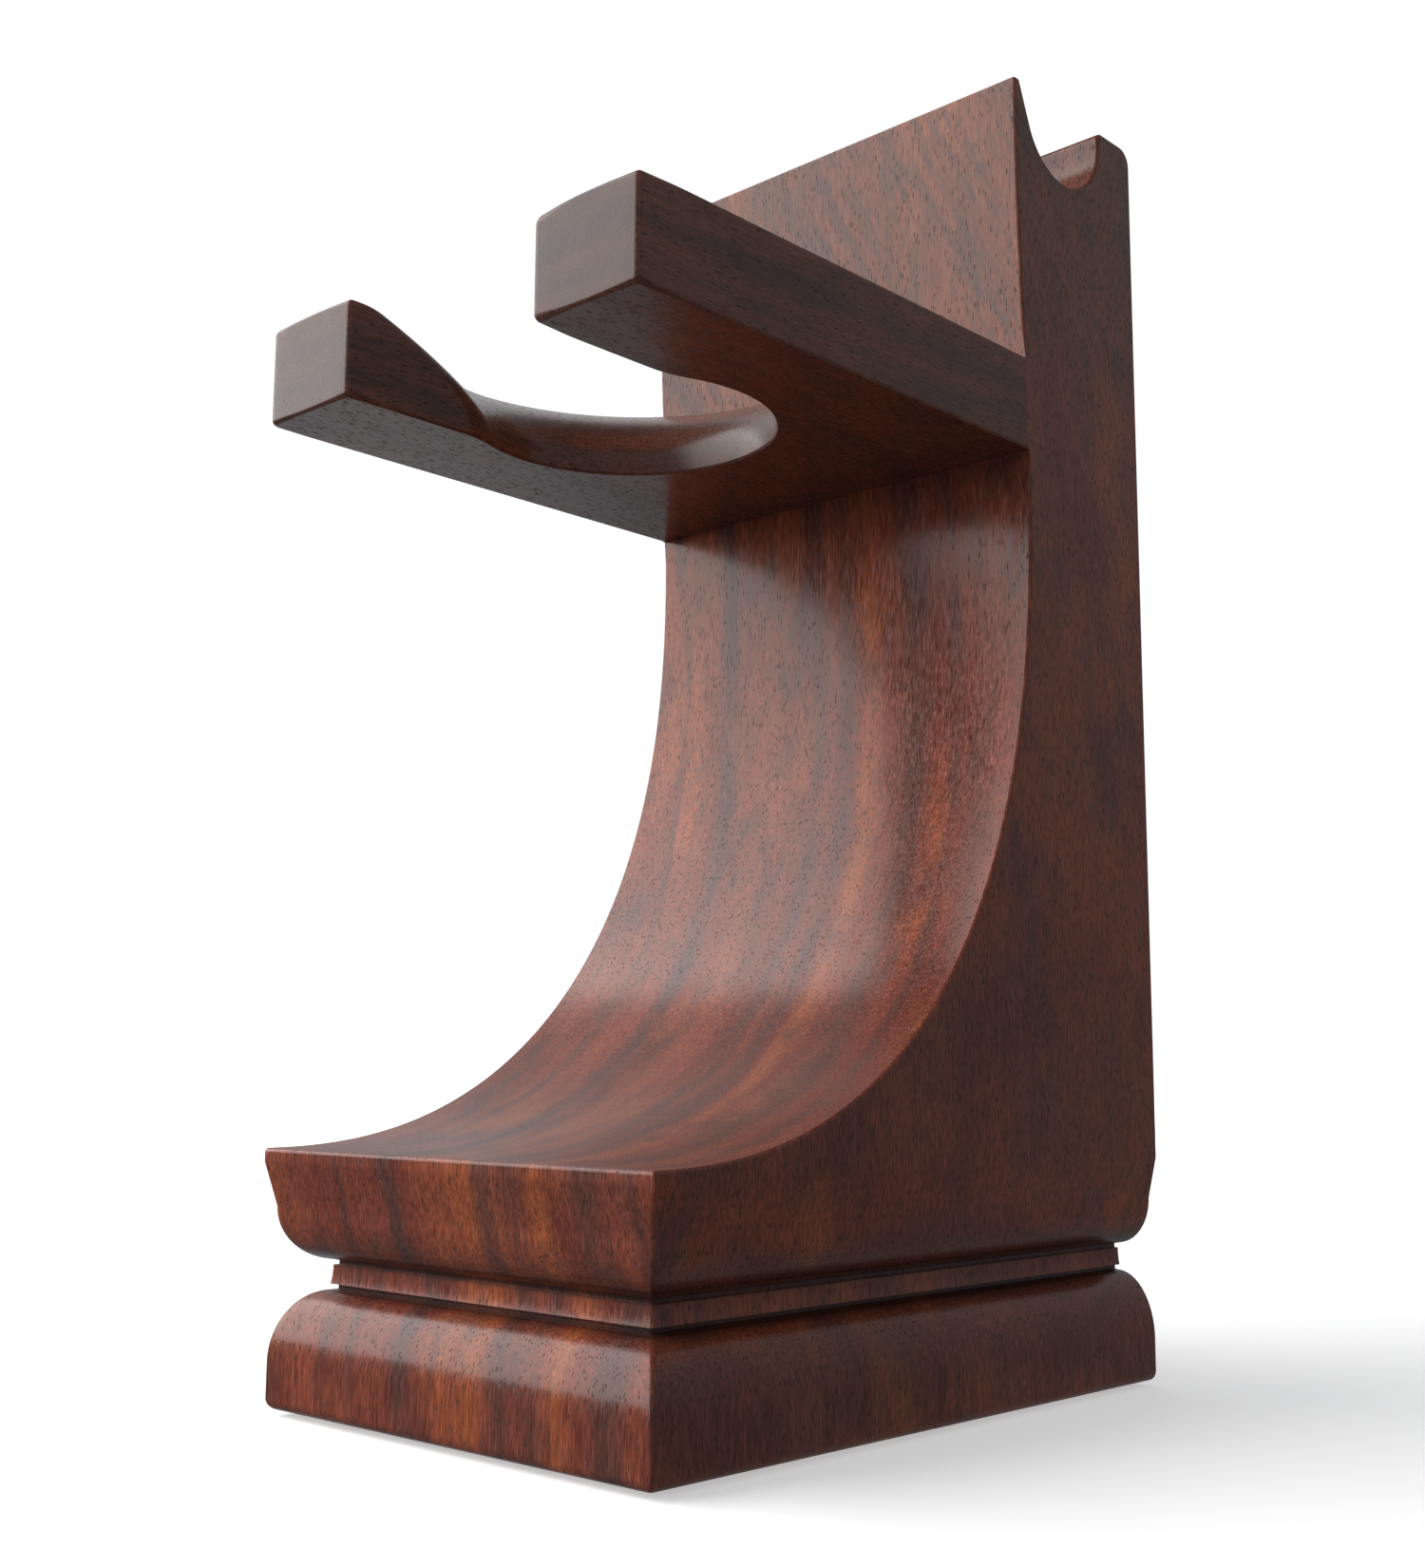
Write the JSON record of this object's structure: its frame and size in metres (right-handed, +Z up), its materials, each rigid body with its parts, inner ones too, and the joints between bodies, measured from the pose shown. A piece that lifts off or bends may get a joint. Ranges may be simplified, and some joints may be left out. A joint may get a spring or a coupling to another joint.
{
  "type": "shaving brush and razor stand",
  "caption": "Carved rosewood shaving stand: moulded base, scooped column, forked arm that holds a brush, and a groove across the top for a razor.",
  "frame": {"origin": "on the surface the stand rests on, under the middle of its overall box", "axes": "+Z up, -Y towards the front where the fork opens, +X to the right seen from the front"},
  "size_m": [0.054, 0.0804, 0.14],
  "materials": {
    "rosewood_block": "oiled satin rosewood, grain upright",
    "rosewood_board": "oiled satin rosewood, grain along the fork",
    "beech_dowel": "bare beech",
    "felt": "pressed felt disc"
  },
  "bodies": {
    "root": {"stand_body": "rosewood_block", "brush_fork": "rosewood_board", "fork_dowel_left": "beech_dowel", "fork_dowel_right": "beech_dowel", "felt_pad_front_left": "felt", "felt_pad_back_left": "felt", "felt_pad_front_right": "felt", "felt_pad_back_right": "felt"}
  },
  "joints": []
}
